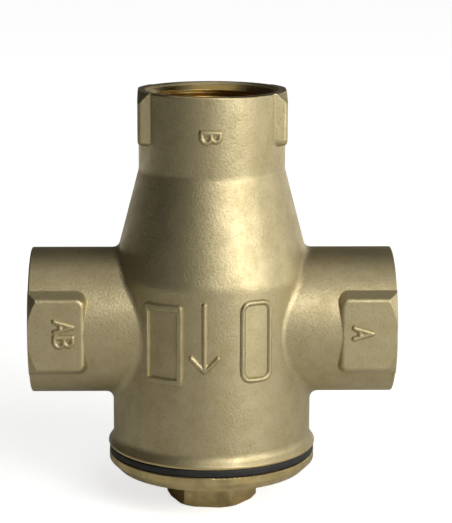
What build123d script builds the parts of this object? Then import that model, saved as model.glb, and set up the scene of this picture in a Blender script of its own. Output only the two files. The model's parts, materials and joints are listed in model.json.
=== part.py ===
from build123d import *
from math import asin, atan2, degrees, sqrt
import os

# Three-way thermostatic mixing valve in hot-forged brass, sizes in millimetres.
# The origin is the centre of the hexagon's end face, on which the valve stands.
# +Z runs up the body to port B, +X along the arm to port A and -X along the arm to port AB.
# Cold: the main plate shuts port A, and port B feeds port AB. Warm: the wax lifts the
# shuttle, port A opens and the bypass disc closes port B.

# Female port threads, one inch parallel, cut into three necks of one diameter
thread_major_r = 16.62
port_wall = 2.38
thread_depth = 19.0
mouth_chamfer = 0.7
mouth_rounding = 0.4
passage_r = 13.5
port_r = thread_major_r + port_wall

# Heights of the outside, stacked from the foot of the hexagon
hex_height = 9.3
rim_band = 2.0
rim_chamfer = 2.2
seal_thickness = 2.1
flange_edge = 0.6
flange_flare = 1.9
axis_above_flange_face = 33.1
cylinder_above_axis = 13.2
cone_height = 27.0
neck_height = 20.5
rim_z = hex_height + rim_chamfer + rim_band
seal_top_z = rim_z + seal_thickness
flange_edge_z = seal_top_z + flange_edge
flange_z = flange_edge_z + flange_flare
axis_z = seal_top_z + axis_above_flange_face
cone_z = axis_z + cylinder_above_axis
knee_z = cone_z + cone_height
top_z = knee_z + neck_height

# Roundings of the outside, and the arms
cone_rounding = 7.0
knee_rounding = 4.0
arm_half_length = 47.1
arm_fillet = 2.2

# Flats for a wrench on the arms and on the neck
pad_length = 14.2
pad_overrun = 4.0
pad_draft = 26.0
pad_proud = 0.15
pad_half_width = 9.2
neck_pad_length = 13.4
neck_pad_draft = 6.0
neck_pad_proud = 0.08
neck_pad_half_width = 10.4
pad_corner = 1.7
pad_rounding = 1.1
pad_trim_proud = 0.35
pad_trim_slope = 0.8

# Raised label frame on the body, left of the front
frame_turn = -29.3
frame_width = 11.0
frame_height = 20.5
frame_line = 1.5
frame_raise = 0.75
frame_above_axis = -1.2
frame_corner = 0.9
frame_rounding = 0.35

# Wax element, from the piston pin outwards
pin_r = 1.95
sliding_gap = 0.05
boot_wall = 1.4
wax_layer = 1.95
wax_gap = 0.05
cup_wall = 0.6
guide_wall = 2.5
shoulder_step = 2.0
bore_r = pin_r + sliding_gap
guide_r = bore_r + guide_wall
boot_r = bore_r + boot_wall
cup_inner_r = boot_r + wax_layer + wax_gap
cup_r = cup_inner_r + cup_wall
shoulder_r = cup_r + shoulder_step
skirt_r = shoulder_r + cup_wall

# Around the element: main spring, main plate and the legs of the upper frame
spring_skirt_gap = 3.1
main_wire_r = 0.7
plate_spring_inset = 1.5
leg_plate_gap = 0.6
leg_thickness = 1.2
leg_web_gap = 0.4
main_spring_low_r = skirt_r + spring_skirt_gap + main_wire_r
plate_r = main_spring_low_r + main_wire_r + plate_spring_inset
leg_inner_r = plate_r + leg_plate_gap
leg_outer_r = leg_inner_r + leg_thickness
web_hole_r = leg_outer_r + leg_web_gap

# Casting, from the web's hole out to the flange
web_land = 2.7
cap_shoulder = 2.5
cap_thread_wall = 4.05
flange_step = 1.35
flange_rounding = 0.3
flange_flare_rounding = 3.0
chamber_r = web_hole_r + web_land
cap_thread_r = chamber_r + cap_shoulder
body_r = cap_thread_r + cap_thread_wall
flange_r = body_r + flange_step

# Chambers of the casting, in height
partition_wall = 3.0
web_drop = 0.7
web_thickness = 3.0
web_z = axis_z - web_drop
web_top_z = web_z + web_thickness
upper_chamber_height = 19.0
throat_r = 10.5
bypass_seat_width = 5.5
bypass_seat_thickness = 3.4

# Service cap screwed into the body from below
cap_thread_gap = 0.05
cap_thread_length = 7.4
cap_thread_relief = 1.0
cap_skirt_wall = 3.0
cap_floor = 3.0
cap_rim_inset = 0.2
seal_inset = 0.25
seal_rounding = 0.7
seal_bore_gap = 0.35
hex_across_flats = 20.8
hex_turn = 52.6
hex_corner_chamfer = 1.1
hex_chamfer_height = 0.9
cap_edge_rounding = 0.3

# Insert plate that carries the main seat, clamped under the web by a snap ring
insert_gap = 0.3
insert_thickness = 1.2
gasket_thickness = 0.8
circlip_thickness = 1.1
circlip_width = 3.2
circlip_bite = 1.0
circlip_groove_gap = 0.1
circlip_opening = 26.0
circlip_eye_r = 0.8
insert_r = chamber_r - insert_gap
gasket_bottom_z = web_z - gasket_thickness
insert_z = gasket_bottom_z - insert_thickness
circlip_z = insert_z - circlip_thickness
circlip_outer_r = chamber_r + circlip_bite
circlip_inner_r = circlip_outer_r - circlip_width

# Main plate, its rubber face and the land on which it shuts
plate_thickness = 1.2
plate_rim_height = 0.8
face_thickness = 1.0
face_width = 3.4
seat_overlap = 1.4
seat_r = plate_r - seat_overlap
face_top_z = gasket_bottom_z + face_thickness
plate_top_z = face_top_z + plate_thickness

# Heights of the wax element
guide_length = 10.2
guide_fit_gap = 0.02
shoulder_height = 2.2
boot_flange_thickness = 0.8
boot_washer_width = 1.2
boot_washer_thickness = 1.0
boot_length = 8.2
boot_tip_wall = 1.4
cup_height = 10.6
cup_rounding = 1.2
pin_end_gap = 0.4
pin_point = 0.8
shoulder_top_z = plate_top_z + shoulder_height
boot_flange_top_z = shoulder_top_z + boot_flange_thickness
cup_top_z = boot_flange_top_z + cup_height
guide_z = face_top_z - guide_length
pin_top_z = boot_flange_top_z + boot_length - boot_tip_wall - pin_end_gap

# Upper frame: two legs through the web and a ring that holds the top of the main spring
leg_width = 7.0
leg_knee_drop = 6.0
main_turns = 4.0
main_spring_height = 15.9
spring_end_gap = 0.05
ring_thickness = 1.2
ring_cup_gap = 1.0
ring_width = 5.6
ring_spring_inset = 0.9
ring_z = plate_top_z + main_spring_height
ring_top_z = ring_z + ring_thickness
ring_hole_r = cup_r + ring_cup_gap
ring_r = ring_hole_r + ring_width
main_spring_high_r = ring_r - ring_spring_inset - main_wire_r

# Lower bridge that holds the piston pin
bridge_thickness = 1.2
bridge_width = 6.0
bridge_foot_gap = 0.5
bridge_leg_inset = 0.2
bridge_depth = 14.5
bridge_knee_drop = 6.0
socket_wall = 1.3
socket_height = 2.0
socket_gap = 0.02
socket_floor = 0.4
bridge_z = insert_z - bridge_depth
bridge_foot_r = circlip_inner_r - bridge_foot_gap
bridge_leg_inner_r = seat_r + bridge_leg_inset
bridge_leg_outer_r = bridge_leg_inner_r + bridge_thickness
socket_r = pin_r + socket_gap + socket_wall
pin_z = bridge_z + socket_floor

# Bypass disc on its stem, above the element
lift = 8.0
bypass_closing_gap = 0.3
bypass_spring_height = 8.1
bypass_wire_r = 0.35
bypass_turns = 4.0
bypass_hub_wall = 1.1
bypass_hub_height = 1.0
bypass_hub_spring_gap = 0.4
bypass_disc_thickness = 1.2
bypass_seat_overlap = 2.0
bypass_disc_rounding = 0.3
stem_r = 1.5
stem_foot_width = 1.2
stem_foot_thickness = 0.6
stem_running_gap = 0.08
stem_groove_depth = 0.4
stem_tip = 1.3
clip_thickness = 0.6
clip_width = 2.2
clip_gap = 0.03
clip_mouth = 1.7
disc_z = cup_top_z + bypass_spring_height
disc_top_z = disc_z + bypass_disc_thickness
disc_r = throat_r + bypass_seat_overlap
hub_r = stem_r + stem_running_gap + bypass_hub_wall
bypass_spring_r = hub_r + bypass_hub_spring_gap + bypass_wire_r
clip_top_z = disc_top_z + clip_thickness
stem_top_z = clip_top_z + stem_tip
groove_r = stem_r - stem_groove_depth
clip_r = groove_r + clip_gap + clip_width

# The seat of port B stands where the disc arrives at the end of its lift
bypass_seat_z = disc_top_z + lift + bypass_closing_gap
bypass_seat_top_z = bypass_seat_z + bypass_seat_thickness

# Flow windows between the chambers and the arms
window_margin = 0.5
window_overlap = 7.5
arm_core_x = chamber_r + partition_wall
lower_window_top_z = circlip_z - window_margin

parts_folder = "parts"

# Wrench flats of the two arms, front and back, turned down at the mouths, as loose lugs for the body
pad_trim_r = port_r + pad_trim_proud
arm_pad_depth = port_r + pad_proud - sqrt(port_r**2 - pad_half_width**2) + pad_rounding
with BuildPart() as arm_pads:
    with BuildSketch(Plane.XZ.offset(port_r + pad_proud)):
        with Locations((arm_half_length + (pad_overrun - pad_length) / 2, axis_z)):
            RectangleRounded(pad_length + pad_overrun, 2 * pad_half_width, pad_corner)
    extrude(amount=-arm_pad_depth, taper=-pad_draft)
    pad_rim = arm_pads.faces().sort_by(Axis.Y)[0].edges()
    fillet(pad_rim, radius=pad_rounding)
    split(bisect_by=Plane.YZ.offset(arm_half_length), keep=Keep.BOTTOM)
    with BuildSketch(Plane.XZ):
        with BuildLine():
            Polyline(
                (arm_half_length - 2 * pad_length, axis_z),
                (arm_half_length - 2 * pad_length, axis_z + pad_trim_r + 2 * pad_length * pad_trim_slope),
                (arm_half_length, axis_z + pad_trim_r),
                (arm_half_length, axis_z),
                close=True,
            )
        make_face()
    revolve(axis=Axis((0, 0, axis_z), (1, 0, 0)), mode=Mode.INTERSECT)
    mirror(about=Plane.XZ)
    mirror(about=Plane.YZ)

# Wrench flats of the neck, on its two sides, turned down at the top
neck_pad_depth = port_r + neck_pad_proud - sqrt(port_r**2 - neck_pad_half_width**2) + pad_rounding
with BuildPart() as neck_pads:
    with BuildSketch(Plane.YZ.offset(port_r + neck_pad_proud)):
        with Locations((0, top_z + (pad_overrun - neck_pad_length) / 2)):
            RectangleRounded(2 * neck_pad_half_width, neck_pad_length + pad_overrun, pad_corner)
    extrude(amount=-neck_pad_depth, taper=-neck_pad_draft)
    pad_rim = neck_pads.faces().sort_by(Axis.X)[-1].edges()
    fillet(pad_rim, radius=pad_rounding)
    split(bisect_by=Plane.XY.offset(top_z), keep=Keep.BOTTOM)
    with BuildSketch(Plane.XZ):
        with BuildLine():
            Polyline(
                (0, top_z - 2 * neck_pad_length),
                (pad_trim_r + 2 * neck_pad_length * pad_trim_slope, top_z - 2 * neck_pad_length),
                (pad_trim_r, top_z),
                (0, top_z),
                close=True,
            )
        make_face()
    revolve(axis=Axis.Z, mode=Mode.INTERSECT)
    mirror(about=Plane.YZ)

# Raised label frame: a flat frame run back to the axis and trimmed to a thin shell
frame_normal = Vector(0, -1, 0).rotate(Axis.Z, frame_turn)
frame_plane = Plane(
    origin=frame_normal * (body_r + frame_raise),
    x_dir=Vector(1, 0, 0).rotate(Axis.Z, frame_turn),
    z_dir=frame_normal,
)
with BuildPart() as label_frame:
    with BuildSketch(frame_plane):
        with Locations((0, axis_z + frame_above_axis)):
            RectangleRounded(frame_width, frame_height, frame_corner)
            Rectangle(frame_width - 2 * frame_line, frame_height - 2 * frame_line, mode=Mode.SUBTRACT)
    extrude(amount=-body_r / 2)
    with BuildSketch(Plane.XY.offset(axis_z + frame_above_axis - frame_height)):
        Circle(body_r + frame_raise)
        Circle(body_r - frame_raise, mode=Mode.SUBTRACT)
    extrude(amount=2 * frame_height, mode=Mode.INTERSECT)
    outer_face = label_frame.faces().filter_by(GeomType.CYLINDER).sort_by(lambda f: f.radius)[-1]
    fillet(outer_face.edges(), radius=frame_rounding)

# Core of one arm: flow passage, thread bore and mouth chamfer, turned about the arm's axis
with BuildPart() as arm_core:
    with BuildSketch(Plane.XZ):
        with BuildLine():
            Polyline(
                (arm_core_x, axis_z),
                (arm_core_x, axis_z + passage_r),
                (arm_half_length - thread_depth, axis_z + passage_r),
                (arm_half_length - thread_depth, axis_z + thread_major_r),
                (arm_half_length - mouth_chamfer, axis_z + thread_major_r),
                (arm_half_length, axis_z + thread_major_r + mouth_chamfer),
                (arm_half_length + mouth_chamfer, axis_z + thread_major_r + mouth_chamfer),
                (arm_half_length + mouth_chamfer, axis_z),
                close=True,
            )
        make_face()
    revolve(axis=Axis((0, 0, axis_z), (1, 0, 0)))
    mirror(about=Plane.YZ)

# Windows through the partition: under the web towards port A, over it towards port AB
with BuildPart() as windows:
    with BuildSketch(Plane.YZ.offset(arm_core_x - window_overlap)):
        with Locations((0, axis_z)):
            Circle(passage_r)
        with Locations((0, lower_window_top_z + passage_r)):
            Rectangle(2 * passage_r, 2 * passage_r, mode=Mode.SUBTRACT)
    extrude(amount=window_overlap + window_margin)
    with BuildSketch(Plane.YZ.offset(window_overlap - arm_core_x)):
        with Locations((0, axis_z)):
            Circle(passage_r)
        with Locations((0, web_top_z - passage_r)):
            Rectangle(2 * passage_r, 2 * passage_r, mode=Mode.SUBTRACT)
    extrude(amount=-window_overlap - window_margin)

# Forged body: stepped barrel and neck with two arms, hollowed by its cores
with BuildPart() as valve_body:
    with BuildSketch(Plane.XZ):
        with BuildLine():
            FilletPolyline(
                (0, seal_top_z),
                (flange_r, seal_top_z),
                (flange_r, flange_edge_z),
                (body_r, flange_z),
                (body_r, cone_z),
                (port_r, knee_z),
                (port_r, top_z),
                (0, top_z),
                radius=[
                    flange_rounding,
                    flange_rounding,
                    flange_flare_rounding,
                    cone_rounding,
                    knee_rounding,
                    mouth_rounding,
                ],
            )
            Line((0, top_z), (0, seal_top_z))
        make_face()
    revolve(axis=Axis.Z)
    with BuildSketch(Plane.YZ):
        with Locations((0, axis_z)):
            Circle(port_r)
    extrude(amount=arm_half_length, both=True)
    joint_edges = valve_body.edges(Select.NEW).filter_by(
        lambda e: abs(e.center().X) < body_r and abs(e.center().Z - axis_z) < port_r * 0.999
    )
    fillet(joint_edges, radius=arm_fillet)
    arm_end_edges = valve_body.edges().group_by(Axis.X)[0] + valve_body.edges().group_by(Axis.X)[-1]
    fillet(arm_end_edges, radius=mouth_rounding)
    add(arm_pads.part)
    add(neck_pads.part)
    add(label_frame.part)
    # Barrel core: cap thread, lower chamber with its ring groove, web, upper chamber, throat, port B
    with BuildSketch(Plane.XZ):
        with BuildLine():
            Polyline(
                (0, seal_top_z),
                (cap_thread_r, seal_top_z),
                (cap_thread_r, seal_top_z + cap_thread_length + cap_thread_relief),
                (chamber_r, seal_top_z + cap_thread_length + cap_thread_relief),
                (chamber_r, circlip_z - circlip_groove_gap),
                (circlip_outer_r + circlip_groove_gap, circlip_z - circlip_groove_gap),
                (circlip_outer_r + circlip_groove_gap, insert_z + circlip_groove_gap),
                (chamber_r, insert_z + circlip_groove_gap),
                (chamber_r, web_z),
                (web_hole_r, web_z),
                (web_hole_r, web_top_z),
                (chamber_r, web_top_z),
                (chamber_r, web_top_z + upper_chamber_height),
                (throat_r + bypass_seat_width, bypass_seat_z),
                (throat_r, bypass_seat_z),
                (throat_r, bypass_seat_top_z),
                (passage_r, bypass_seat_top_z),
                (passage_r, top_z - thread_depth),
                (thread_major_r, top_z - thread_depth),
                (thread_major_r, top_z - mouth_chamfer),
                (thread_major_r + mouth_chamfer, top_z),
                (0, top_z),
                close=True,
            )
        make_face()
    revolve(axis=Axis.Z, mode=Mode.SUBTRACT)
    add(arm_core.part, mode=Mode.SUBTRACT)
    add(windows.part, mode=Mode.SUBTRACT)

# Service cap: chamfered round rim over a forged hexagon, with a hollow threaded skirt above
hex_corner_r = hex_across_flats / sqrt(3)
cap_skirt_r = cap_thread_r - cap_thread_gap
cap_rim_r = flange_r - cap_rim_inset
with BuildPart() as bottom_cap:
    with BuildSketch(Plane.XY):
        RegularPolygon(hex_across_flats / 2, 6, major_radius=False, rotation=hex_turn)
    extrude(amount=hex_height)
    with BuildSketch(Plane.XZ):
        with BuildLine():
            Polyline(
                (0, 0),
                (hex_corner_r - hex_corner_chamfer, 0),
                (hex_corner_r, hex_chamfer_height),
                (hex_corner_r, hex_height),
                (0, hex_height),
                close=True,
            )
        make_face()
    revolve(axis=Axis.Z, mode=Mode.INTERSECT)
    with BuildSketch(Plane.XZ):
        with BuildLine():
            Polyline(
                (0, hex_height),
                (cap_rim_r - rim_chamfer, hex_height),
                (cap_rim_r, hex_height + rim_chamfer),
                (cap_rim_r, rim_z),
                (cap_skirt_r, rim_z),
                (cap_skirt_r, seal_top_z + cap_thread_length),
                (cap_skirt_r - cap_skirt_wall, seal_top_z + cap_thread_length),
                (cap_skirt_r - cap_skirt_wall, hex_height + cap_floor),
                (0, hex_height + cap_floor),
                close=True,
            )
        make_face()
    revolve(axis=Axis.Z)
    rim_edges = bottom_cap.edges().filter_by(GeomType.CIRCLE).filter_by(
        lambda e: abs(e.radius - cap_rim_r) < cap_rim_inset
    )
    fillet(rim_edges, radius=cap_edge_rounding)

# Flat rubber ring squeezed between the cap's rim and the body's flange, its edge bulged round
seal_outer_r = flange_r - seal_inset
with BuildPart() as cap_seal_ring:
    with BuildSketch(Plane.XY.offset(rim_z)):
        Circle(seal_outer_r)
        Circle(cap_skirt_r + seal_bore_gap, mode=Mode.SUBTRACT)
    extrude(amount=seal_thickness)
    outer_edges = cap_seal_ring.edges().filter_by(GeomType.CIRCLE).group_by(SortBy.RADIUS)[-1]
    fillet(outer_edges, radius=seal_rounding)

# Insert plate with the main seat as its hole
with BuildPart() as insert_plate:
    with BuildSketch(Plane.XY.offset(insert_z)):
        Circle(insert_r)
        Circle(seat_r, mode=Mode.SUBTRACT)
    extrude(amount=insert_thickness)

# Fibre gasket between the insert plate and the web
with BuildPart() as insert_gasket:
    with BuildSketch(Plane.XY.offset(gasket_bottom_z)):
        Circle(insert_r)
        Circle(web_hole_r, mode=Mode.SUBTRACT)
    extrude(amount=gasket_thickness)

# Snap ring in its groove, open at the front with an eye each side of the opening
circlip_eye_x = (circlip_inner_r + circlip_outer_r) / 2
eye_turn = circlip_opening / 2 + degrees(asin(2 * circlip_eye_r / circlip_eye_x))
with BuildPart() as insert_circlip:
    with BuildSketch(Plane.XY.offset(circlip_z)):
        Circle(circlip_outer_r)
        Circle(circlip_inner_r, mode=Mode.SUBTRACT)
        with BuildLine():
            wedge_r = 2 * circlip_outer_r
            Polyline(
                (0, 0),
                Vector(0, -wedge_r).rotate(Axis.Z, -circlip_opening / 2),
                Vector(0, -wedge_r).rotate(Axis.Z, circlip_opening / 2),
                close=True,
            )
        make_face(mode=Mode.SUBTRACT)
        with PolarLocations(circlip_eye_x, 2, start_angle=-90 - eye_turn, angular_range=4 * eye_turn):
            Circle(circlip_eye_r, mode=Mode.SUBTRACT)
    extrude(amount=circlip_thickness)

# Lower bridge: a folded strap under the insert plate with a turned socket for the pin
with BuildPart() as lower_bridge:
    bridge_knee_z = insert_z - bridge_knee_drop
    with BuildSketch(Plane.YZ):
        with BuildLine():
            Polyline(
                (bridge_foot_r, insert_z),
                (bridge_foot_r, insert_z - bridge_thickness),
                (bridge_leg_outer_r, insert_z - bridge_thickness),
                (bridge_leg_outer_r, bridge_knee_z),
                (socket_r + bridge_thickness, bridge_z),
                (0, bridge_z),
                (0, bridge_z + bridge_thickness),
                (socket_r, bridge_z + bridge_thickness),
                (bridge_leg_inner_r, bridge_knee_z),
                (bridge_leg_inner_r, insert_z),
                close=True,
            )
        make_face()
        mirror(about=Plane.YZ)
    extrude(amount=bridge_width / 2, both=True)
    with BuildSketch(Plane.XY.offset(bridge_z)):
        Circle(socket_r)
    extrude(amount=bridge_thickness + socket_height)
    with BuildSketch(Plane.XY.offset(pin_z)):
        Circle(pin_r + socket_gap)
    extrude(amount=bridge_thickness + socket_height, mode=Mode.SUBTRACT)

# Upper frame: two legs from the insert plate to the ring that holds the main spring
with BuildPart() as upper_frame:
    leg_knee_z = ring_z - leg_knee_drop
    with BuildSketch(Plane.YZ):
        with BuildLine():
            Polyline(
                (leg_outer_r, gasket_bottom_z),
                (leg_outer_r, leg_knee_z),
                (ring_r, ring_top_z),
                (0, ring_top_z),
                (0, ring_z),
                (ring_r - leg_thickness, ring_z),
                (leg_inner_r, leg_knee_z),
                (leg_inner_r, gasket_bottom_z),
                close=True,
            )
        make_face()
        mirror(about=Plane.YZ)
    extrude(amount=leg_width / 2, both=True)
    with BuildSketch(Plane.XY.offset(ring_z)):
        Circle(ring_r)
    extrude(amount=ring_thickness)
    with BuildSketch(Plane.XY.offset(ring_z)):
        Circle(ring_hole_r)
    extrude(amount=ring_thickness, mode=Mode.SUBTRACT)

# Main plate, pressed with a turned-up rim
plate_hole_r = guide_r + guide_fit_gap
with BuildPart() as main_plate:
    with BuildSketch(Plane.XZ):
        with BuildLine():
            Polyline(
                (plate_hole_r, face_top_z),
                (plate_r, face_top_z),
                (plate_r, plate_top_z + plate_rim_height),
                (plate_r - plate_rim_height, plate_top_z + plate_rim_height),
                (plate_r - plate_rim_height, plate_top_z),
                (plate_hole_r, plate_top_z),
                close=True,
            )
        make_face()
    revolve(axis=Axis.Z)

# Rubber face bonded under the main plate
with BuildPart() as main_plate_seal:
    with BuildSketch(Plane.XY.offset(gasket_bottom_z)):
        Circle(plate_r)
        Circle(plate_r - face_width, mode=Mode.SUBTRACT)
    extrude(amount=face_thickness)

# Guide of the wax element: a bush through the plate with a shoulder above it
with BuildPart() as element_guide:
    with BuildSketch(Plane.XZ):
        with BuildLine():
            Polyline(
                (bore_r, guide_z),
                (guide_r, guide_z),
                (guide_r, plate_top_z),
                (shoulder_r, plate_top_z),
                (shoulder_r, shoulder_top_z),
                (bore_r + boot_washer_width, shoulder_top_z),
                (bore_r + boot_washer_width, shoulder_top_z - boot_washer_thickness),
                (bore_r, shoulder_top_z - boot_washer_thickness),
                close=True,
            )
        make_face()
    revolve(axis=Axis.Z)
    foot_edges = element_guide.edges().filter_by(GeomType.CIRCLE).group_by(Axis.Z)[0]
    chamfer(foot_edges.sort_by(SortBy.RADIUS)[-1], length=guide_wall / 4)

# Hard washer that keeps the boot out of the guide's bore
with BuildPart() as boot_washer:
    with BuildSketch(Plane.XY.offset(shoulder_top_z - boot_washer_thickness)):
        Circle(bore_r + boot_washer_width)
        Circle(bore_r, mode=Mode.SUBTRACT)
    extrude(amount=boot_washer_thickness)

# Rubber boot: a sleeve shut at its tip, its flange clamped between guide and cup
with BuildPart() as rubber_boot:
    boot_top_z = boot_flange_top_z + boot_length
    with BuildSketch(Plane.XZ):
        with BuildLine():
            Polyline(
                (bore_r, shoulder_top_z),
                (shoulder_r, shoulder_top_z),
                (shoulder_r, boot_flange_top_z),
                (boot_r, boot_flange_top_z),
                (boot_r, boot_top_z),
                (0, boot_top_z),
                (0, boot_top_z - boot_tip_wall),
                (bore_r, boot_top_z - boot_tip_wall),
                close=True,
            )
        make_face()
    revolve(axis=Axis.Z)
    fillet(rubber_boot.edges().group_by(Axis.Z)[-1], radius=boot_tip_wall / 2)

# Wax charge that fills the cup around the boot
with BuildPart() as wax_charge:
    with BuildSketch(Plane.XY.offset(boot_flange_top_z + wax_gap)):
        Circle(cup_inner_r - wax_gap)
    extrude(amount=cup_height - cup_wall - 2 * wax_gap)
    chamfer(wax_charge.edges().group_by(Axis.Z)[-1], length=cup_rounding - cup_wall)
    with BuildSketch(Plane.XY.offset(boot_flange_top_z + wax_gap)):
        Circle(boot_r + wax_gap)
    extrude(amount=boot_length, mode=Mode.SUBTRACT)

# Deep-drawn cup, crimped over the guide's shoulder by its skirt
with BuildPart() as element_cup:
    with BuildSketch(Plane.XZ):
        with BuildLine():
            FilletPolyline(
                (0, cup_top_z),
                (cup_r, cup_top_z),
                (cup_r, boot_flange_top_z + cup_wall),
                (skirt_r, boot_flange_top_z + cup_wall),
                (skirt_r, plate_top_z),
                radius=[cup_rounding, 0, cup_wall],
            )
            Polyline(
                (skirt_r, plate_top_z),
                (shoulder_r, plate_top_z),
                (shoulder_r, boot_flange_top_z),
                (cup_inner_r, boot_flange_top_z),
                (cup_inner_r, cup_top_z - cup_rounding),
                (cup_inner_r - cup_rounding + cup_wall, cup_top_z - cup_wall),
                (0, cup_top_z - cup_wall),
                (0, cup_top_z),
            )
        make_face()
    revolve(axis=Axis.Z)

# Piston pin, still while the element climbs it
with BuildPart() as piston_pin:
    with BuildSketch(Plane.XY.offset(pin_z)):
        Circle(pin_r)
    extrude(amount=pin_top_z - pin_z)
    chamfer(piston_pin.edges().group_by(Axis.Z)[-1], length=pin_point)

# Conical main spring, wide on the plate and narrow under the ring
with BuildPart() as main_spring:
    main_rise = main_spring_height - 2 * main_wire_r - 2 * spring_end_gap
    main_taper = degrees(atan2(main_spring_high_r - main_spring_low_r, main_rise))
    with BuildLine() as main_coil:
        Helix(
            main_rise / main_turns,
            main_rise,
            main_spring_low_r,
            center=(0, 0, plate_top_z + main_wire_r + spring_end_gap),
            cone_angle=main_taper,
        )
    with BuildSketch(Plane(origin=main_coil.line @ 0, z_dir=main_coil.line % 0)):
        Circle(main_wire_r)
    sweep(is_frenet=True)

# Stem of the bypass disc, with a foot on the cup and a groove for the clip
with BuildPart() as bypass_stem:
    with BuildSketch(Plane.XZ):
        with BuildLine():
            Polyline(
                (0, cup_top_z),
                (stem_r + stem_foot_width, cup_top_z),
                (stem_r + stem_foot_width, cup_top_z + stem_foot_thickness),
                (stem_r, cup_top_z + stem_foot_thickness),
                (stem_r, disc_top_z),
                (groove_r, disc_top_z),
                (groove_r, clip_top_z),
                (stem_r, clip_top_z),
                (stem_r, stem_top_z - stem_groove_depth),
                (groove_r, stem_top_z),
                (0, stem_top_z),
                close=True,
            )
        make_face()
    revolve(axis=Axis.Z)

# Bypass disc with its hub, free to slide down the stem
with BuildPart() as bypass_disc:
    with BuildSketch(Plane.XY.offset(disc_z)):
        Circle(disc_r)
    extrude(amount=bypass_disc_thickness)
    fillet(bypass_disc.edges(), radius=bypass_disc_rounding)
    with BuildSketch(Plane.XY.offset(disc_z)):
        Circle(hub_r)
    extrude(amount=-bypass_hub_height)
    with BuildSketch(Plane.XY.offset(disc_z - bypass_hub_height)):
        Circle(stem_r + stem_running_gap)
    extrude(amount=bypass_hub_height + bypass_disc_thickness, mode=Mode.SUBTRACT)

# Bypass spring between the cup and the disc
with BuildPart() as bypass_spring:
    bypass_rise = bypass_spring_height - 2 * bypass_wire_r - 2 * spring_end_gap
    with BuildLine() as bypass_coil:
        Helix(
            bypass_rise / bypass_turns,
            bypass_rise,
            bypass_spring_r,
            center=(0, 0, cup_top_z + bypass_wire_r + spring_end_gap),
        )
    with BuildSketch(Plane(origin=bypass_coil.line @ 0, z_dir=bypass_coil.line % 0)):
        Circle(bypass_wire_r)
    sweep(is_frenet=True)

# Snap clip on the stem, open on one side
with BuildPart() as bypass_clip:
    with BuildSketch(Plane.XY.offset(disc_top_z)):
        Circle(clip_r)
        Circle(groove_r + clip_gap, mode=Mode.SUBTRACT)
        with Locations((clip_r / 2, 0)):
            Rectangle(clip_r, clip_mouth, mode=Mode.SUBTRACT)
    extrude(amount=clip_thickness)

pieces = {
    "valve_body": valve_body,
    "bottom_cap": bottom_cap,
    "cap_seal_ring": cap_seal_ring,
    "insert_plate": insert_plate,
    "insert_gasket": insert_gasket,
    "insert_circlip": insert_circlip,
    "lower_bridge": lower_bridge,
    "piston_pin": piston_pin,
    "upper_frame": upper_frame,
    "main_spring": main_spring,
    "main_plate": main_plate,
    "main_plate_seal": main_plate_seal,
    "element_guide": element_guide,
    "boot_washer": boot_washer,
    "rubber_boot": rubber_boot,
    "wax_charge": wax_charge,
    "element_cup": element_cup,
    "bypass_stem": bypass_stem,
    "bypass_disc": bypass_disc,
    "bypass_spring": bypass_spring,
    "bypass_clip": bypass_clip,
}

os.makedirs(parts_folder, exist_ok=True)
for name, piece in pieces.items():
    piece.part.label = name
    export_step(piece.part, f"{parts_folder}/{name}.step")
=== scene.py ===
"""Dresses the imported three-way mixing valve: brass finishes, port threads, raised marks, springs, stage."""

import json
from math import pi, radians

import bpy
import numpy as np
from bpy.props import FloatProperty, FloatVectorProperty, IntProperty, PointerProperty, StringProperty
from mathutils import Matrix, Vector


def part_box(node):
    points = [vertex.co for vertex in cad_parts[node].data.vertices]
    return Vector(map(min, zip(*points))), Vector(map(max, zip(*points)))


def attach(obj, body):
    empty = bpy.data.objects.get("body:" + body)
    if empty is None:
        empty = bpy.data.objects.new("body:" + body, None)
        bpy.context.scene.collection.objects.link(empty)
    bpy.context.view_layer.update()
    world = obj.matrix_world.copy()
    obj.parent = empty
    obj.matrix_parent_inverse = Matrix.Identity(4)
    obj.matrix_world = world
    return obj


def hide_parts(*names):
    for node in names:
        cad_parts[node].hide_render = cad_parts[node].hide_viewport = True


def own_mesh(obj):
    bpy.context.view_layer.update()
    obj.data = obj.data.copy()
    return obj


bl_info = {
    "name": "Three-way mixing valve",
    "version": (1, 0, 0),
    "blender": (4, 5, 0),
    "location": "View3D > Sidebar > Valve",
    "description": "Finishes, threads, marks and springs of a forged brass three-way mixing valve",
    "category": "Object",
}

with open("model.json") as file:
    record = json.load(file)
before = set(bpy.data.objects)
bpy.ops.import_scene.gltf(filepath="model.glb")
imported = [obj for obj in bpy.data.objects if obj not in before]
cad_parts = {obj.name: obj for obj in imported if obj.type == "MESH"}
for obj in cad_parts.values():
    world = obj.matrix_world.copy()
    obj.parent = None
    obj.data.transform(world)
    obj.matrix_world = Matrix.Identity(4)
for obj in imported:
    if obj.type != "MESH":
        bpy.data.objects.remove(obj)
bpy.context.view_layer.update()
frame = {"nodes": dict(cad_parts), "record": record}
nodes = frame["nodes"]

MM = 0.001
BODY_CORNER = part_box("valve_body")[1]
PORT_TOP = BODY_CORNER.z
ARM_END = BODY_CORNER.x
MOUNTS = {mount["name"]: mount for mount in frame["record"]["mounts"]}
AXIS_Z = MOUNTS["port_a"]["pos_m"][2]
THREAD_R = MOUNTS["port_a"]["dims"]["r_mm"] * MM
THREAD_LENGTH = MOUNTS["port_a"]["dims"]["length_mm"] * MM
MOUTH_CHAMFER = 0.7 * MM
PORT_R = 19.0 * MM
BARREL_R = 26.05 * MM
PAD_FACE = 19.15 * MM
FLANGE_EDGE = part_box("cap_seal_ring")[1].z + 0.6 * MM

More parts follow.
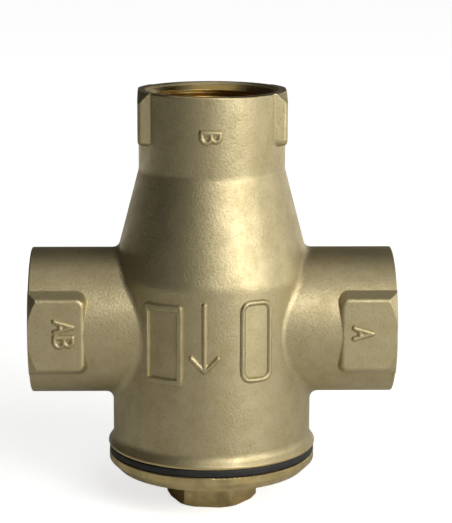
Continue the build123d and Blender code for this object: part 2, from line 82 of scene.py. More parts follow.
# Middles of the raised marks: sideways (round the neck and the barrel along the surface) and height
LETTER_A = (38.3 * MM, 49.2 * MM)
LETTER_AB = (-37.9 * MM, 49.2 * MM)
LETTER_B = (-0.6 * MM, 99.3 * MM)
ARROW = (-2.2 * MM, 49.6 * MM)
FIELD = (11.3 * MM, 48.4 * MM)


class ThreadSettings(bpy.types.PropertyGroup):
    """Female parallel pipe thread of the three ports."""

    pitch: FloatProperty(
        name="Pitch", description="Axial distance between two turns", default=2.309 * MM, unit="LENGTH"
    )
    depth: FloatProperty(
        name="Depth", description="Radial depth of the thread", default=1.479 * MM, unit="LENGTH"
    )
    crest: FloatProperty(
        name="Crest", description="Width of the thread's flat crest", default=0.385 * MM, unit="LENGTH"
    )
    turns: FloatProperty(
        name="Turns", description="Turns from the thread's inner end to the mouth", default=7.0
    )
    cover: FloatProperty(
        name="Cover", description="Thickness of the sleeve over the bore", default=0.03 * MM, unit="LENGTH"
    )
    steps_round: IntProperty(
        name="Steps round", description="Columns of the surface in one turn", default=240
    )
    rows_per_turn: IntProperty(
        name="Rows per turn", description="Rows of the surface in one pitch", default=18
    )


class MarkSettings(bpy.types.PropertyGroup):
    """Raised marks of the forging."""

    cap_height: FloatProperty(
        name="Letter height", description="Height of a port letter", default=6.2 * MM, unit="LENGTH"
    )
    stroke: FloatProperty(
        name="Stroke", description="Width of a letter's stroke at its foot", default=1.6 * MM, unit="LENGTH"
    )
    relief: FloatProperty(
        name="Relief", description="Height of a mark over the forging", default=0.65 * MM, unit="LENGTH"
    )
    arrow_length: FloatProperty(
        name="Arrow length", description="Length of the flow arrow", default=17.0 * MM, unit="LENGTH"
    )
    arrow_barb: FloatProperty(
        name="Arrow barb", description="Reach of a barb along and across the arrow", default=3.4 * MM,
        unit="LENGTH",
    )
    field_length: FloatProperty(
        name="Field length", description="Length of the blank field", default=20.0 * MM, unit="LENGTH"
    )
    field_width: FloatProperty(
        name="Field width", description="Width of the blank field", default=7.6 * MM, unit="LENGTH"
    )
    field_corner: FloatProperty(
        name="Field corner", description="Corner radius of the blank field", default=2.2 * MM, unit="LENGTH"
    )


class SpringSettings(bpy.types.PropertyGroup):
    """Main spring and overtravel spring of the insert."""

    main_wire: FloatProperty(
        name="Main wire", description="Wire diameter of the main spring", default=1.4 * MM, unit="LENGTH"
    )
    main_low_r: FloatProperty(
        name="Main radius, low", description="Coil radius on the main plate", default=12.35 * MM,
        unit="LENGTH",
    )
    main_high_r: FloatProperty(
        name="Main radius, high", description="Coil radius under the ring", default=11.0 * MM, unit="LENGTH"
    )
    bypass_wire: FloatProperty(
        name="Bypass wire", description="Wire diameter of the overtravel spring", default=0.7 * MM,
        unit="LENGTH",
    )
    turns: IntProperty(name="Turns", description="Turns from end to end, dead ends taken in", default=5)


class FinishSettings(bpy.types.PropertyGroup):
    """Colours of the metals, rubber and stage, as sRGB hex values."""

    brass: StringProperty(name="Brass", description="Shot-blasted forged brass", default="C5B790")
    brass_dark: StringProperty(name="Brass, dull", description="Tarnish in its hollows", default="A39468")
    turned: StringProperty(name="Turned brass", description="Freshly cut brass", default="CFB983")
    bore: StringProperty(name="Bore brass", description="Threads cut with oil, darkened", default="B8985A")
    rubber: StringProperty(name="Rubber", description="Black seal rubber", default="161616")
    floor: StringProperty(name="Floor", description="Pale floor", default="E9E9E7")


class StageSettings(bpy.types.PropertyGroup):
    """Camera, lamps and the walls of the studio."""

    camera_place: FloatVectorProperty(
        name="Camera", description="Place of the camera", default=(-0.00772, -0.48257, 0.16465),
        unit="LENGTH",
    )
    camera_tilt: FloatProperty(
        name="Tilt", description="How far the camera looks down", default=radians(11.775), unit="ROTATION"
    )
    camera_heading: FloatProperty(
        name="Heading", description="Turn of the camera to the right", default=radians(1.358),
        unit="ROTATION",
    )
    camera_roll: FloatProperty(
        name="Roll", description="Roll of the camera about its line of sight", default=radians(0.167),
        unit="ROTATION",
    )
    lens: FloatProperty(name="Lens", description="Focal length in millimetres", default=129.42)
    key_power: FloatProperty(name="Key", description="Power of the key lamp", default=2.8, unit="POWER")
    front_power: FloatProperty(
        name="Front", description="Power of the front lamp", default=2.1, unit="POWER"
    )
    side_power: FloatProperty(name="Side", description="Power of the side lamp", default=1.0, unit="POWER")
    back_power: FloatProperty(name="Back", description="Power of the back lamp", default=0.5, unit="POWER")
    top_power: FloatProperty(
        name="Top", description="Power of the overhead lamp", default=0.75, unit="POWER"
    )
    wall_dim: FloatProperty(name="Walls", description="Brightness of the studio all round", default=0.02)
    wall_right: FloatProperty(name="Right wall", description="Brightness added on the right", default=0.04)
    wall_behind: FloatProperty(name="Back wall", description="Brightness added behind", default=0.1)
    backdrop: FloatProperty(name="Backdrop", description="White that the camera sees behind", default=0.96)


def linear(code, alpha=1.0):
    """Linear colour of an sRGB hex value."""
    srgb = np.array([int(code[k:k + 2], 16) for k in (0, 2, 4)]) / 255
    flat = np.where(srgb <= 0.04045, srgb / 12.92, ((srgb + 0.055) / 1.055) ** 2.4)
    return (*(float(value) for value in flat), alpha)


def add_node(tree, kind, settings=None, out=None, **inputs):
    """Adds a node with its settings. An input is named by its socket (spaces as underscores) or numbered as
    i0, i1 and so on, and is a value or a socket. Gives the node, or its output out."""
    node = tree.nodes.new(f"ShaderNode{kind}")
    for key, value in (settings or {}).items():
        setattr(node, key, value)
    for key, value in inputs.items():
        slot = node.inputs[int(key[1:]) if key[0] == "i" and key[1:].isdigit() else key.replace("_", " ")]
        if isinstance(value, bpy.types.NodeSocket):
            tree.links.new(value, slot)
        else:
            slot.default_value = value
    return node if out is None else node.outputs[out]


def new_material(name):
    """Empty node material, its node tree, and the object coordinates that its patterns read."""
    material = bpy.data.materials.new(name)
    material.use_nodes = True
    tree = material.node_tree
    tree.nodes.clear()
    return material, tree, add_node(tree, "TexCoord", out="Object")


def close_material(tree, **shader):
    """Principled shader with the given inputs, joined to the output."""
    surface = add_node(tree, "BsdfPrincipled", out=0, **shader)
    add_node(tree, "OutputMaterial", Surface=surface)


SMOOTH = {"interpolation_type": "SMOOTHSTEP"}
COLOUR = {"data_type": "RGBA"}
NUMBER = {"data_type": "FLOAT"}


def blasted_brass(finish):
    """Hot-forged brass (CuZn40Pb2), shot-blasted: a dull, even grain of small dents over the slight waves of
    the die, a little duller in the hollows, and turned metal at the port mouths and on the flange's edge."""
    material, tree, place = new_material("forged_brass_blasted")
    split = add_node(tree, "SeparateXYZ", Vector=place)
    x, y, z = (split.outputs[k] for k in range(3))
    # Shot dents are 0.2 to 0.4 mm wide; they are drawn 0.6 mm wide to show.
    dents = add_node(
        tree, "TexNoise", out="Fac", Vector=place, Scale=1 / (0.6 * MM), Detail=3.0, Roughness=0.6
    )
    waves = add_node(
        tree, "TexNoise", out="Fac", Vector=place, Scale=1 / (8 * MM), Detail=2.0, Roughness=0.5
    )
    patches = add_node(
        tree, "TexNoise", out="Fac", Vector=place, Scale=1 / (5 * MM), Detail=5.0, Roughness=0.65
    )
    # Turned zones: end faces of the arms, top face of the neck, the edge of the flange
    above_axis = add_node(tree, "Math", {"operation": "SUBTRACT"}, 0, i0=z, i1=AXIS_Z)
    length = {"operation": "LENGTH"}
    from_arm_axis = add_node(tree, "CombineXYZ", out=0, X=0.0, Y=y, Z=above_axis)
    arm_radius = add_node(tree, "VectorMath", length, "Value", i0=from_arm_axis)
    from_neck_axis = add_node(tree, "CombineXYZ", out=0, X=x, Y=y, Z=0.0)
    neck_radius = add_node(tree, "VectorMath", length, "Value", i0=from_neck_axis)
    side = add_node(tree, "Math", {"operation": "ABSOLUTE"}, 0, i0=x)
    on_arm_end = add_node(
        tree, "MapRange", SMOOTH, 0, Value=side, From_Min=ARM_END - 0.3 * MM, From_Max=ARM_END - 0.1 * MM
    )
    on_top = add_node(
        tree, "MapRange", SMOOTH, 0, Value=z, From_Min=PORT_TOP - 0.3 * MM, From_Max=PORT_TOP - 0.1 * MM
    )
    on_flange = add_node(
        tree, "MapRange", SMOOTH, 0, Value=z, From_Min=FLANGE_EDGE - 0.1 * MM,
        From_Max=FLANGE_EDGE + 0.1 * MM, To_Min=1.0, To_Max=0.0,
    )
    on_ends = add_node(tree, "Math", {"operation": "MAXIMUM"}, 0, i0=on_arm_end, i1=on_top)
    turned = add_node(tree, "Math", {"operation": "MAXIMUM"}, 0, i0=on_ends, i1=on_flange)
    # Turning marks, one cut every 0.15 mm, drawn 0.3 mm apart
    cut = add_node(tree, "Mix", NUMBER, 0, i0=on_arm_end, i2=neck_radius, i3=arm_radius)
    cut = add_node(tree, "Mix", NUMBER, 0, i0=on_flange, i2=cut, i3=z)
    along_cut = add_node(tree, "CombineXYZ", out=0, X=cut, Y=0.0, Z=0.0)
    rings = add_node(tree, "TexNoise", out="Fac", Vector=along_cut, Scale=1 / (0.3 * MM), Detail=1.0)
    # Dullness: soft patches a few millimetres wide, and the deeper dents
    dull = add_node(
        tree, "MapRange", SMOOTH, 0, Value=patches, From_Min=0.3, From_Max=0.75, To_Min=0.0, To_Max=0.4
    )
    hollow = add_node(
        tree, "MapRange", SMOOTH, 0, Value=dents, From_Min=0.5, From_Max=0.3, To_Min=0.0, To_Max=0.35
    )
    worn = add_node(tree, "Math", {"operation": "ADD", "use_clamp": True}, 0, i0=dull, i1=hollow)
    blasted = add_node(
        tree, "Mix", COLOUR, 2, i0=worn, i6=linear(finish.brass), i7=linear(finish.brass_dark)
    )
    colour = add_node(tree, "Mix", COLOUR, 2, i0=turned, i6=blasted, i7=linear(finish.turned))
    rough_blast = add_node(
        tree, "MapRange", SMOOTH, 0, Value=patches, From_Min=0.3, From_Max=0.7, To_Min=0.46, To_Max=0.54
    )
    rough_cut = add_node(
        tree, "MapRange", SMOOTH, 0, Value=rings, From_Min=0.3, From_Max=0.7, To_Min=0.28, To_Max=0.4
    )
    rough = add_node(tree, "Mix", NUMBER, 0, i0=turned, i2=rough_blast, i3=rough_cut)
    # The edges of a forging are rounded by 0.3 mm or more.
    eased = add_node(tree, "Bevel", {"samples": 6}, 0, Radius=0.35 * MM)
    wavy = add_node(tree, "Bump", out=0, Strength=1.0, Distance=0.1 * MM, Height=waves, Normal=eased)
    fine_rings = add_node(tree, "Math", {"operation": "MULTIPLY"}, 0, i0=rings, i1=0.15)
    grain = add_node(tree, "Mix", NUMBER, 0, i0=turned, i2=dents, i3=fine_rings)
    grainy = add_node(tree, "Bump", out=0, Strength=1.0, Distance=0.075 * MM, Height=grain, Normal=wavy)
    close_material(tree, Base_Color=colour, Metallic=1.0, Roughness=rough, Normal=grainy)
    return material


def turned_brass(finish, name, code, axis, mark=0.3 * MM, low=0.26, high=0.4):
    """Machined leaded brass: bright and fairly smooth, with fine tool marks across the given axis. The cuts
    are 0.1 to 0.2 mm apart and are drawn wider to show."""
    material, tree, place = new_material(name)
    along = add_node(tree, "SeparateXYZ", out=axis, Vector=place)
    line = add_node(tree, "CombineXYZ", out=0, X=along, Y=0.0, Z=0.0)
    rings = add_node(tree, "TexNoise", out="Fac", Vector=line, Scale=1 / mark, Detail=2.0)
    stain = add_node(
        tree, "TexNoise", out="Fac", Vector=place, Scale=1 / (4 * MM), Detail=4.0, Roughness=0.6
    )
    stained = add_node(tree, "MapRange", SMOOTH, 0, Value=stain, From_Min=0.35, From_Max=0.8)
    colour = add_node(tree, "Mix", COLOUR, 2, i0=stained, i6=linear(code), i7=linear(finish.brass_dark))
    cuts = add_node(
        tree, "MapRange", SMOOTH, 0, Value=rings, From_Min=0.3, From_Max=0.7, To_Min=low, To_Max=high
    )
    rough = add_node(tree, "Math", {"operation": "MULTIPLY_ADD"}, 0, i0=stained, i1=0.1, i2=cuts)
    bump = add_node(tree, "Bump", out=0, Strength=1.0, Distance=0.01 * MM, Height=rings)
    close_material(tree, Base_Color=colour, Metallic=1.0, Roughness=rough, Normal=bump)
    return material


def moulded_rubber(finish):
    """Moulded nitrile rubber: matt black, with a faint bloom and a fine mould grain."""
    material, tree, place = new_material("black_rubber_moulded")
    bloom = add_node(
        tree, "TexNoise", out="Fac", Vector=place, Scale=1 / (4 * MM), Detail=4.0, Roughness=0.6
    )
    grain = add_node(tree, "TexNoise", out="Fac", Vector=place, Scale=1 / (0.5 * MM), Detail=2.0)
    bloomed = add_node(tree, "MapRange", SMOOTH, 0, Value=bloom, From_Min=0.4, From_Max=0.8)
    colour = add_node(tree, "Mix", COLOUR, 2, i0=bloomed, i6=linear(finish.rubber), i7=linear("2C2B2A"))
    rough = add_node(
        tree, "MapRange", SMOOTH, 0, Value=bloom, From_Min=0.3, From_Max=0.7, To_Min=0.5, To_Max=0.7
    )
    bump = add_node(tree, "Bump", out=0, Strength=1.0, Distance=0.03 * MM, Height=grain)
    close_material(tree, Base_Color=colour, Roughness=rough, Normal=bump)
    return material


def plain_finish(name, code, dark, metallic, low, high, grain_size, depth, stretch=(1.0, 1.0, 1.0)):
    """Finish with one grain: colour and roughness follow a noise that may be drawn out along an axis."""
    material, tree, place = new_material(name)
    drawn = add_node(tree, "Mapping", out=0, Vector=place, Scale=stretch)
    grain = add_node(
        tree, "TexNoise", out="Fac", Vector=drawn, Scale=1 / grain_size, Detail=3.0, Roughness=0.6
    )
    stain = add_node(tree, "TexNoise", out="Fac", Vector=place, Scale=1 / (6 * MM), Detail=3.0)
    stained = add_node(tree, "MapRange", SMOOTH, 0, Value=stain, From_Min=0.35, From_Max=0.75)
    colour = add_node(tree, "Mix", COLOUR, 2, i0=stained, i6=linear(code), i7=linear(dark))
    rough = add_node(
        tree, "MapRange", SMOOTH, 0, Value=grain, From_Min=0.3, From_Max=0.7, To_Min=low, To_Max=high
    )
    bump = add_node(tree, "Bump", out=0, Strength=1.0, Distance=depth, Height=grain)
    close_material(tree, Base_Color=colour, Metallic=metallic, Roughness=rough, Normal=bump)
    return material


def mesh_piece(name, corners, faces, material, body):
    """Smooth mesh object at the origin from arrays of corners and faces, riding on a body."""
    mesh = bpy.data.meshes.new(name)
    mesh.from_pydata(corners.tolist(), [], faces)
    mesh.update()
    mesh.polygons.foreach_set("use_smooth", np.ones(len(mesh.polygons), dtype=bool))
    mesh.materials.append(material)
    piece = bpy.data.objects.new(name, mesh)
    bpy.context.scene.collection.objects.link(piece)
    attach(piece, body)
    return piece


def grid_faces(rows, columns, wrap_rows=False, wrap_columns=False, flip=False):
    """Four-sided faces between neighbouring points of a grid whose points are numbered row by row."""
    last_i, last_j = rows - (not wrap_rows), columns - (not wrap_columns)
    i, j = np.meshgrid(np.arange(last_i), np.arange(last_j), indexing="ij")
    i, j = i.ravel(), j.ravel()
    i2, j2 = (i + 1) % rows, (j + 1) % columns
    faces = np.stack([i * columns + j, i2 * columns + j, i2 * columns + j2, i * columns + j2], axis=1)
    return (faces[:, ::-1] if flip else faces).tolist()


def to_port(local, port):
    """Turns points given about a port's axis, z being the height over its mouth, into the port's place. Each
    of the three is a turn without mirroring, so that every thread stays right-handed."""
    x, y, over = local[..., 0], local[..., 1], local[..., 2]
    if port == "port_b":
        return np.stack([x, y, PORT_TOP + over], axis=-1)
    if port == "port_a":
        return np.stack([ARM_END + over, -y, AXIS_Z + x], axis=-1)
    return np.stack([-ARM_END - over, y, AXIS_Z + x], axis=-1)


def thread_surface(settings, port):
    """Closed sleeve with an internal thread. Over the turn angle and the depth, a point's distance to the
    nearest crest line (one pitch up per turn) gives the ridge's height: full on the crest, then down to the
    root by a smooth step. The ridge begins by a short run-in at its inner end, and a cone of 45 degrees cuts
    it at the mouth. A plain wall closes the sleeve behind."""
    angle = np.linspace(0, 1, settings.steps_round, endpoint=False)[:, None]
    rows = int(THREAD_LENGTH / settings.pitch * settings.rows_per_turn)
    over = np.linspace(-MOUTH_CHAMFER, -MOUTH_CHAMFER - THREAD_LENGTH, rows)[None, :]
    climb = over / settings.pitch + settings.turns - angle
    number = np.floor(climb + 0.5)
    from_crest = np.abs(climb - number) * settings.pitch
    share = (from_crest - settings.crest / 2) / (settings.pitch / 2 - settings.crest / 2)
    share = np.clip(share, 0, 1)
    ridge = 1 - share * share * (3 - 2 * share)
    run_in = 0.06
    begun = np.clip((number + angle) / run_in + 1, 0, 1)
    cone = (-MOUTH_CHAMFER - over) / settings.depth
    wall = THREAD_R - settings.cover
    radius = wall - settings.depth * np.minimum(ridge * begun, cone)
    back = np.full((len(angle), 2), wall + settings.cover / 2)
    back_over = np.broadcast_to(over[:, [-1, 0]], (len(angle), 2))
    radius = np.concatenate([radius, back], axis=1)
    over = np.concatenate([np.broadcast_to(over, (len(angle), rows)), back_over], axis=1)
    turn = 2 * pi * angle
    local = np.stack([radius * np.cos(turn), radius * np.sin(turn), over], axis=-1)
    return to_port(local, port).reshape(-1, 3), grid_faces(len(angle), rows + 2, True, True)


def arc_points(centre, radius_x, radius_y, start, end, count=14):
    """Points of an elliptic arc, angles in degrees."""
    turn = np.radians(np.linspace(start, end, count))
    return np.stack([centre[0] + radius_x * np.cos(turn), centre[1] + radius_y * np.sin(turn)], axis=1)


def letter_strokes(letter):
    """Centre lines of a letter in a box one unit high, as lists of points (x to the right, y up)."""
    if letter == "A":
        return [
            np.array([[0.0, 0.0], [0.3, 1.0]]),
            np.array([[0.3, 1.0], [0.6, 0.0]]),
            np.array([[0.1, 0.32], [0.5, 0.32]]),
        ], 0.6
    stem = np.array([[0.0, 0.0], [0.0, 1.0]])
    upper = np.concatenate([[[0.0, 1.0]], arc_points((0.22, 0.76), 0.24, 0.24, 90, -90), [[0.0, 0.52]]])
    lower = np.concatenate([[[0.0, 0.52]], arc_points((0.24, 0.26), 0.28, 0.26, 90, -90), [[0.0, 0.0]]])
    return [stem, upper, lower], 0.52


def word_lines(word, height):
    """Centre lines of a word in metres, centred on the origin."""
    lines, pen, space = [], 0.0, 0.3
    for letter in word:
        strokes, width = letter_strokes(letter)
        lines += [(stroke + [pen, 0.0]) * height for stroke in strokes]
        pen += width + space
    middle = np.array([(pen - space) / 2, 0.5]) * height
    return [line - middle for line in lines]


def box_lines(width, height, corner):
    """Centre line of an upright rectangle with round corners, centred on the origin."""
    across, up = width / 2 - corner, height / 2 - corner
    arcs = [
        arc_points((side_x * across, side_y * up), corner, corner, start, start + 90, 6)
        for side_x, side_y, start in ((1, 1, 0), (-1, 1, 90), (-1, -1, 180), (1, -1, 270))
    ]
    line = np.concatenate(arcs)
    return [np.concatenate([line, line[:1]])]


def arrow_lines(length, barb):
    """Centre lines of an arrow along +x, centred on the origin: a shaft and two barbs."""
    tip = np.array([length / 2, 0.0])
    return [
        np.array([[-length / 2, 0.0], tip]),
        np.array([tip - [barb, barb], tip]),
        np.array([tip - [barb, -barb], tip]),
    ]


def distance_to_lines(across, up, lines):
    """Distance from each grid point to the nearest of the polylines, all segments at once."""
    first = np.concatenate([line[:-1] for line in lines])
    last = np.concatenate([line[1:] for line in lines])
    run = last - first
    px = across[..., None] - first[:, 0]
    py = up[..., None] - first[:, 1]
    share = np.clip((px * run[:, 0] + py * run[:, 1]) / (run ** 2).sum(axis=1), 0, 1)
    return np.hypot(px - share * run[:, 0], py - share * run[:, 1]).min(axis=-1)


def relief_patch(lines, stroke, relief, place, step=0.09 * MM):
    """Closed patch round the strokes. Over a stroke its height is a rounded ridge,
    relief * (1 - d * d) ** 0.75 for the distance d from the centre line in half strokes, and away from it
    the patch lies sunk under the surface. place turns (u, v, height) into points."""
    sunk, border = 0.12 * MM, stroke / 2 + 0.4 * MM
    every = np.concatenate(lines)
    low, high = every.min(axis=0) - border, every.max(axis=0) + border
    count_u, count_v = ((high - low) / step).astype(int)
    along_u, along_v = np.linspace(low[0], high[0], count_u), np.linspace(low[1], high[1], count_v)
    u, v = np.meshgrid(along_u, along_v, indexing="ij")
    across = np.clip(distance_to_lines(u, v, lines) / (stroke / 2), 0, 1)
    top = place(u, v, (relief + sunk) * (1 - across ** 2) ** 0.75 - sunk)
    bottom = place(u, v, np.full_like(u, -3 * sunk))
    return shell_from_two(top, bottom)


def shell_from_two(top, bottom):
    """Closed shell between two grids of the same size, joined round their four edges."""
    rows, columns = top.shape[:2]
    count = rows * columns
    faces = grid_faces(rows, columns)
    faces += [[count + k for k in face[::-1]] for face in faces]
    number = np.arange(count).reshape(rows, columns)
    rim = np.concatenate([number[:-1, 0], number[-1, :-1], number[:0:-1, -1], number[0, :0:-1]])
    after = np.roll(rim, -1)
    sides = np.stack([rim, rim + count, after + count, after], axis=1)
    faces += sides.tolist()
    return np.concatenate([top.reshape(-1, 3), bottom.reshape(-1, 3)]), faces


def on_front_flat(middle):
    """Placing on the front wrench flat of an arm, the word read downwards with its top to the right."""
    def place(u, v, height):
        return np.stack([middle[0] + v, -PAD_FACE - height, middle[1] - u], axis=-1)
    return place


def on_round(radius, middle):
    """Placing on the front of an upright cylinder, read downwards. The distance sideways over the radius is
    the angle round it."""
    def place(u, v, height):
        turn = (middle[0] + v) / radius
        reach = radius + height
        return np.stack([reach * np.sin(turn), -reach * np.cos(turn), middle[1] - u], axis=-1)
    return place


def coil_surface(low_z, high_z, low_r, high_r, wire_r, turns, steps=72, sides=14):
    """Round wire carried along a helix. The helix climbs by one wire over its first and its last 0.8 turn,
    evenly in between, and its radius changes evenly with its height. The wire's ends are closed by a fan."""
    count = turns * steps
    turn = np.linspace(0, turns, count + 1)
    dead_turns, dead = 0.8, 2 * wire_r
    start = np.clip(turn / dead_turns, 0, 1)
    end = np.clip((turn - turns + dead_turns) / dead_turns, 0, 1)
    middle = np.clip((turn - dead_turns) / (turns - 2 * dead_turns), 0, 1)
    z = low_z + wire_r + dead * (start + end) + middle * (high_z - low_z - 2 * wire_r - 2 * dead)
    radius = low_r + (high_r - low_r) * (z - low_z) / (high_z - low_z)
    angle = 2 * pi * turn
    line = np.stack([radius * np.cos(angle), radius * np.sin(angle), z], axis=1)
    tangent = np.gradient(line, axis=0)
    tangent /= np.linalg.norm(tangent, axis=1, keepdims=True)
    outward = np.stack([np.cos(angle), np.sin(angle), 0 * angle], axis=1)
    outward -= tangent * (outward * tangent).sum(axis=1, keepdims=True)
    outward /= np.linalg.norm(outward, axis=1, keepdims=True)
    side = np.cross(tangent, outward)
    around = np.linspace(0, 2 * pi, sides, endpoint=False)
    ring = outward[:, None] * np.cos(around)[None, :, None] + side[:, None] * np.sin(around)[None, :, None]
    tube = line[:, None] + wire_r * ring
    corners = np.concatenate([tube.reshape(-1, 3), line[:1], line[-1:]])
    faces = grid_faces(count + 1, sides, False, True)
    first, last = (count + 1) * sides, (count + 1) * sides + 1
    k = np.arange(sides)
    after = (k + 1) % sides
    faces += np.stack([np.full(sides, first), k, after], axis=1).tolist()
    faces += np.stack([np.full(sides, last), count * sides + after, count * sides + k], axis=1).tolist()
    return corners, faces


class VALVE_OT_finish_castings(bpy.types.Operator):
    """Give every solid of the valve its finish"""

    bl_idname = "valve.finish_castings"
    bl_label = "Finish the solids"

    def execute(self, context):
        finish = context.scene.valve_finish
        by_slot = {
            "forged_brass": blasted_brass(finish),
            "turned_brass": turned_brass(finish, "turned_brass_marks", finish.turned, "Z"),
            "black_rubber": moulded_rubber(finish),
            "stainless_sheet": plain_finish(
                "stainless_sheet_pressed", "A6A5A1", "86857F", 1.0, 0.26, 0.4, 0.4 * MM, 0.01 * MM,
                (1, 1, 0.1),
            ),
            "spring_steel": plain_finish(
                "spring_steel_drawn", "8F8E8C", "6A6968", 1.0, 0.28, 0.4, 0.3 * MM, 0.01 * MM
            ),
            "fibre_gasket": plain_finish(
                "gasket_fibre_pressed", "3C4A41", "2C352F", 0.0, 0.7, 0.85, 0.5 * MM, 0.04 * MM
            ),
            "ptfe_washer": plain_finish(
                "ptfe_white_turned", "DEDCD3", "CFCCC0", 0.0, 0.4, 0.5, 0.5 * MM, 0.01 * MM
            ),
            "wax_filling": plain_finish(
                "wax_copper_filled", "9A6438", "7E4F2C", 0.0, 0.45, 0.6, 0.8 * MM, 0.05 * MM
            ),
            "drawn_cup": plain_finish(
                "brass_cup_drawn", "D2AE74", "B8935A", 1.0, 0.2, 0.34, 0.3 * MM, 0.01 * MM, (1, 1, 0.06)
            ),
        }
        for part in frame["record"]["subparts"]:
            mesh = nodes[part["node"]].data
            mesh.materials.clear()
            mesh.materials.append(by_slot[part["material_slot"]])
        return {"FINISHED"}


class VALVE_OT_cut_threads(bpy.types.Operator):
    """Cut the pipe threads of the three ports"""

    bl_idname = "valve.cut_threads"
    bl_label = "Cut the port threads"

    def execute(self, context):
        settings = context.scene.valve_thread
        finish = context.scene.valve_finish
        for port, axis in (("port_a", "X"), ("port_ab", "X"), ("port_b", "Z")):
            corners, faces = thread_surface(settings, port)
            material = turned_brass(finish, f"cut_thread_{port}", finish.bore, axis, 0.25 * MM, 0.24, 0.34)
            mesh_piece(f"thread_{port}", corners, faces, material, "housing")
        return {"FINISHED"}


class VALVE_OT_raise_marks(bpy.types.Operator):
    """Raise the port letters, the flow arrow and the blank field on the forging"""

    bl_idname = "valve.raise_marks"
    bl_label = "Raise the marks"

    def execute(self, context):
        marks = context.scene.valve_marks
        brass = bpy.data.materials["forged_brass_blasted"]
        height = marks.cap_height - marks.stroke
        arrow = arrow_lines(marks.arrow_length, marks.arrow_barb)
        field = box_lines(marks.field_length, marks.field_width, marks.field_corner)
        shapes = {
            "mark_A": (word_lines("A", height), on_front_flat(LETTER_A)),
            "mark_AB": (word_lines("AB", height), on_front_flat(LETTER_AB)),
            "mark_B": (word_lines("B", height), on_round(PORT_R, LETTER_B)),
            "flow_arrow": (arrow, on_round(BARREL_R, ARROW)),
            "blank_field": (field, on_round(BARREL_R, FIELD)),
        }
        for name, (lines, place) in shapes.items():
            corners, faces = relief_patch(lines, marks.stroke, marks.relief, place)
            mesh_piece(name, corners, faces, brass, "housing")
        return {"FINISHED"}


class VALVE_OT_wind_springs(bpy.types.Operator):
    """Wind the two springs of the insert"""

    bl_idname = "valve.wind_springs"
    bl_label = "Wind the springs"

    def execute(self, context):
        settings = context.scene.valve_spring
        wire = bpy.data.materials["spring_steel_drawn"]
        low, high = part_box("main_spring")
        corners, faces = coil_surface(
            low.z, high.z, settings.main_low_r, settings.main_high_r, settings.main_wire / 2, settings.turns
        )
        spring = mesh_piece("main_spring_coil", corners, faces, wire, "housing")
        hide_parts("main_spring")
        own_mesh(spring)
        low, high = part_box("bypass_spring")
        wire_r = settings.bypass_wire / 2
        mean_r = (high.x - low.x) / 2 - wire_r
        corners, faces = coil_surface(low.z, high.z, mean_r, mean_r, wire_r, settings.turns)
        spring = mesh_piece("bypass_spring_coil", corners, faces, wire, "shuttle")
        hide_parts("bypass_spring")
        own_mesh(spring)
        return {"FINISHED"}


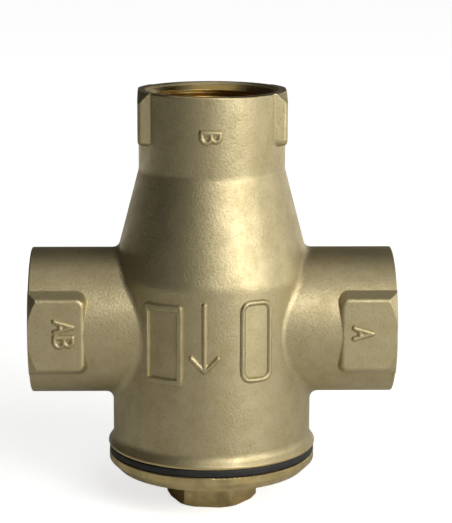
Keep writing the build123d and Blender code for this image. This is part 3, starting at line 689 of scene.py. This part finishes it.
class VALVE_OT_set_stage(bpy.types.Operator):
    """Lay the floor, hang the lamps and aim the camera"""

    bl_idname = "valve.set_stage"
    bl_label = "Set the stage"

    def execute(self, context):
        stage = context.scene.valve_stage
        self.lay_floor(context.scene.valve_finish)
        self.light_world(context.scene, stage)
        self.hang_lamp("key_lamp", stage.key_power, 45, 18, 0.75, (0.4, 0.5))
        self.hang_lamp("front_lamp", stage.front_power, 20, 35, 0.75, (0.4, 0.4))
        self.hang_lamp("side_lamp", stage.side_power, 95, 15, 0.75, (0.4, 0.5))
        self.hang_lamp("back_lamp", stage.back_power, 145, 12, 0.75, (0.4, 0.5))
        self.hang_lamp("top_lamp", stage.top_power, 0, 85, 0.75, (0.6, 0.6))
        camera = bpy.data.objects.new("camera", bpy.data.cameras.new("camera"))
        context.scene.collection.objects.link(camera)
        camera.data.lens = stage.lens
        turn = (
            Matrix.Rotation(-stage.camera_heading, 4, "Z")
            @ Matrix.Rotation(pi / 2 - stage.camera_tilt, 4, "X")
            @ Matrix.Rotation(stage.camera_roll, 4, "Z")
        )
        camera.matrix_world = Matrix.Translation(stage.camera_place) @ turn
        context.scene.camera = camera
        context.scene.view_settings.view_transform = "Standard"
        return {"FINISHED"}

    def lay_floor(self, finish):
        """Round floor, painted pale. The camera sees it nearly white, whiter away from the valve, and it
        keeps the valve's shadow."""
        material, tree, place = new_material("floor_painted_pale")
        seen = add_node(tree, "LightPath")
        paint = add_node(tree, "BsdfDiffuse", out=0, Color=linear(finish.floor))
        away = add_node(tree, "VectorMath", {"operation": "LENGTH"}, "Value", i0=place)
        lift = add_node(
            tree, "MapRange", SMOOTH, 0, Value=away, From_Min=0.1, From_Max=0.7, To_Min=0.72, To_Max=0.95
        )
        back = add_node(tree, "SeparateXYZ", out="Y", Vector=place)
        far = add_node(tree, "MapRange", SMOOTH, 0, Value=back, From_Min=0.05, From_Max=0.5)
        bounced = add_node(
            tree, "Math", {"operation": "MAXIMUM"}, 0, i0=seen.outputs["Is Glossy Ray"],
            i1=seen.outputs["Is Transmission Ray"],
        )
        mirrored = add_node(tree, "Math", {"operation": "MULTIPLY"}, 0, i0=bounced, i1=far)
        shown = add_node(
            tree, "Math", {"operation": "MAXIMUM"}, 0, i0=seen.outputs["Is Camera Ray"], i1=mirrored
        )
        strength = add_node(tree, "Math", {"operation": "MULTIPLY"}, 0, i0=shown, i1=lift)
        glow = add_node(tree, "Emission", out=0, Strength=strength)
        both = add_node(tree, "AddShader", out=0, i0=paint, i1=glow)
        add_node(tree, "OutputMaterial", Surface=both)
        columns = 96
        turn = np.linspace(0, 2 * pi, columns, endpoint=False)
        rings = np.array([0.0005, 0.4, 1.2, 4.0])[:, None]
        points = np.stack([rings * np.cos(turn), rings * np.sin(turn), 0 * rings * turn], axis=-1)
        faces = grid_faces(len(rings), columns, False, True) + [list(range(columns))]
        mesh = bpy.data.meshes.new("floor")
        mesh.from_pydata(points.reshape(-1, 3).tolist(), [], faces)
        mesh.materials.append(material)
        floor = bpy.data.objects.new("floor", mesh)
        bpy.context.scene.collection.objects.link(floor)

    def light_world(self, scene, stage):
        """Studio round the valve: the camera sees it nearly white. The metal mirrors dark walls and a darker
        ceiling, with a little more light from behind, low down, and from the right."""
        world = bpy.data.worlds.new("studio")
        scene.world = world
        world.use_nodes = True
        tree = world.node_tree
        tree.nodes.clear()
        way = add_node(tree, "SeparateXYZ", Vector=add_node(tree, "TexCoord", out="Generated"))
        behind = add_node(
            tree, "MapRange", SMOOTH, 0, Value=way.outputs["Y"], From_Min=0.5, From_Max=0.95,
            To_Max=stage.wall_behind,
        )
        right = add_node(
            tree, "MapRange", SMOOTH, 0, Value=way.outputs["X"], From_Min=-0.2, From_Max=0.9,
            To_Max=stage.wall_right,
        )
        level = add_node(
            tree, "MapRange", SMOOTH, 0, Value=way.outputs["Z"], From_Min=0.2, From_Max=0.8, To_Min=1.0,
            To_Max=0.3,
        )
        low = add_node(
            tree, "MapRange", SMOOTH, 0, Value=way.outputs["Z"], From_Min=0.05, From_Max=0.4, To_Min=1.0,
            To_Max=0.0,
        )
        dim = add_node(tree, "Math", {"operation": "ADD"}, 0, i0=right, i1=stage.wall_dim)
        dim = add_node(tree, "Math", {"operation": "MULTIPLY"}, 0, i0=dim, i1=level)
        wall = add_node(tree, "Math", {"operation": "MULTIPLY_ADD"}, 0, i0=behind, i1=low, i2=dim)
        seen = add_node(tree, "LightPath", out="Is Camera Ray")
        pale = add_node(tree, "Math", {"operation": "MULTIPLY"}, 0, i0=seen, i1=stage.backdrop)
        strength = add_node(tree, "Math", {"operation": "MAXIMUM"}, 0, i0=wall, i1=pale)
        light = add_node(tree, "Background", out=0, Color=(1, 1, 1, 1), Strength=strength)
        add_node(tree, "OutputWorld", Surface=light)

    def hang_lamp(self, name, power, heading, height, distance, size):
        """Flat soft lamp that faces the valve from a heading (degrees right of the front), a height (degrees
        above the arms' axis) and a distance. Its size is its width and height."""
        lamp = bpy.data.lights.new(name, "AREA")
        lamp.energy = power
        lamp.shape = "RECTANGLE"
        lamp.size, lamp.size_y = size
        holder = bpy.data.objects.new(name, lamp)
        bpy.context.scene.collection.objects.link(holder)
        turn = Matrix.Rotation(radians(heading), 4, "Z") @ Matrix.Rotation(radians(90 - height), 4, "X")
        middle = Matrix.Translation((0, 0, AXIS_Z))
        holder.matrix_world = middle @ turn @ Matrix.Translation((0, 0, distance))


OPERATORS = (
    VALVE_OT_finish_castings,
    VALVE_OT_cut_threads,
    VALVE_OT_raise_marks,
    VALVE_OT_wind_springs,
    VALVE_OT_set_stage,
)


class VALVE_PT_panel(bpy.types.Panel):
    """Sizes, finishes and steps of the valve."""

    bl_idname = "VALVE_PT_panel"
    bl_label = "Mixing valve"
    bl_space_type = "VIEW_3D"
    bl_region_type = "UI"
    bl_category = "Valve"

    def draw(self, context):
        for name in SETTINGS:
            group = getattr(context.scene, name)
            for key in group.bl_rna.properties.keys():
                if key not in ("rna_type", "name"):
                    self.layout.prop(group, key)
        for step in OPERATORS:
            self.layout.operator(step.bl_idname)


SETTINGS = {
    "valve_thread": ThreadSettings,
    "valve_marks": MarkSettings,
    "valve_spring": SpringSettings,
    "valve_finish": FinishSettings,
    "valve_stage": StageSettings,
}


def register():
    for kind in (*SETTINGS.values(), *OPERATORS, VALVE_PT_panel):
        bpy.utils.register_class(kind)
    for name, kind in SETTINGS.items():
        setattr(bpy.types.Scene, name, PointerProperty(type=kind))


def unregister():
    for name in SETTINGS:
        delattr(bpy.types.Scene, name)
    for kind in (VALVE_PT_panel, *OPERATORS, *SETTINGS.values()):
        bpy.utils.unregister_class(kind)


def main():
    register()
    bpy.ops.valve.finish_castings()
    bpy.ops.valve.cut_threads()
    bpy.ops.valve.raise_marks()
    bpy.ops.valve.wind_springs()
    bpy.ops.valve.set_stage()


if __name__ == "__main__":
    main()
